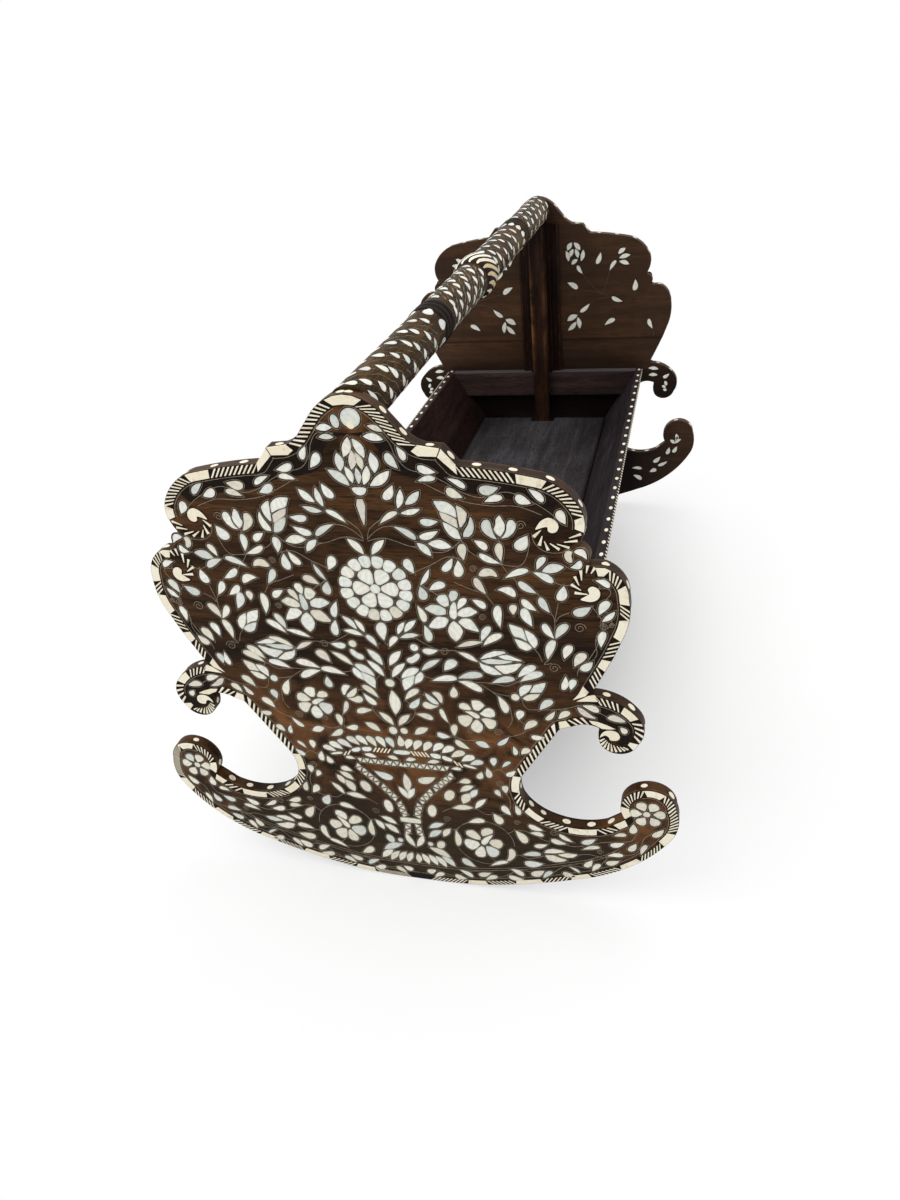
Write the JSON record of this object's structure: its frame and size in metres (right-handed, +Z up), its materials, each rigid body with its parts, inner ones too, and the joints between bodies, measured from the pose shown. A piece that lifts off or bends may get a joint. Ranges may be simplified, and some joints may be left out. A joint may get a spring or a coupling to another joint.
{
  "type": "rocking cradle",
  "caption": "Wooden rocking cradle with scalloped inlaid end boards on curved rockers, a flared trough, a turned bar overhead and a lift-out floor.",
  "frame": {"origin": "on the ground below the middle of the trough, where the rockers touch at rest", "axes": "+Z up, +Y along the trough from the foot end to the head end, +X to the right seen from the foot"},
  "size_m": [0.6136, 1.077, 0.6358],
  "materials": {
    "inlaid_wood": "waxed dark walnut",
    "inner_wood": "dark stained walnut",
    "peg_wood": "plain turned pegs",
    "pearl": "polished shell inlay",
    "bone": "polished bone inlay",
    "wire": "dull tin wire inlay"
  },
  "bodies": {
    "frame": {"foot_crest_board": "inlaid_wood", "foot_arm_board": "inlaid_wood", "foot_rocker_board": "inlaid_wood", "foot_post": "inner_wood", "foot_post_batten": "inner_wood", "foot_post_backing": "inner_wood", "foot_rail": "inner_wood", "foot_seam_dowels": "peg_wood", "foot_post_dowels": "peg_wood", "foot_rail_dowels": "peg_wood", "foot_bar_pin": "peg_wood", "head_crest_board": "inlaid_wood", "head_arm_board": "inlaid_wood", "head_rocker_board": "inlaid_wood", "head_post": "inner_wood", "head_post_batten": "inner_wood", "head_post_backing": "inner_wood", "head_rail": "inner_wood", "head_seam_dowels": "peg_wood", "head_post_dowels": "peg_wood", "head_rail_dowels": "peg_wood", "head_bar_pin": "peg_wood", "right_side": "inner_wood", "right_floor_cleat": "inner_wood", "left_side": "inner_wood", "left_floor_cleat": "inner_wood", "top_bar": "inlaid_wood"},
    "floor": {"floor_board": "inner_wood"}
  },
  "joints": [
    {"name": "floor_lift", "type": "slide", "parent": "frame", "child": "floor", "axis": [0, 0, 1], "range_m": [0, 0.12]}
  ]
}
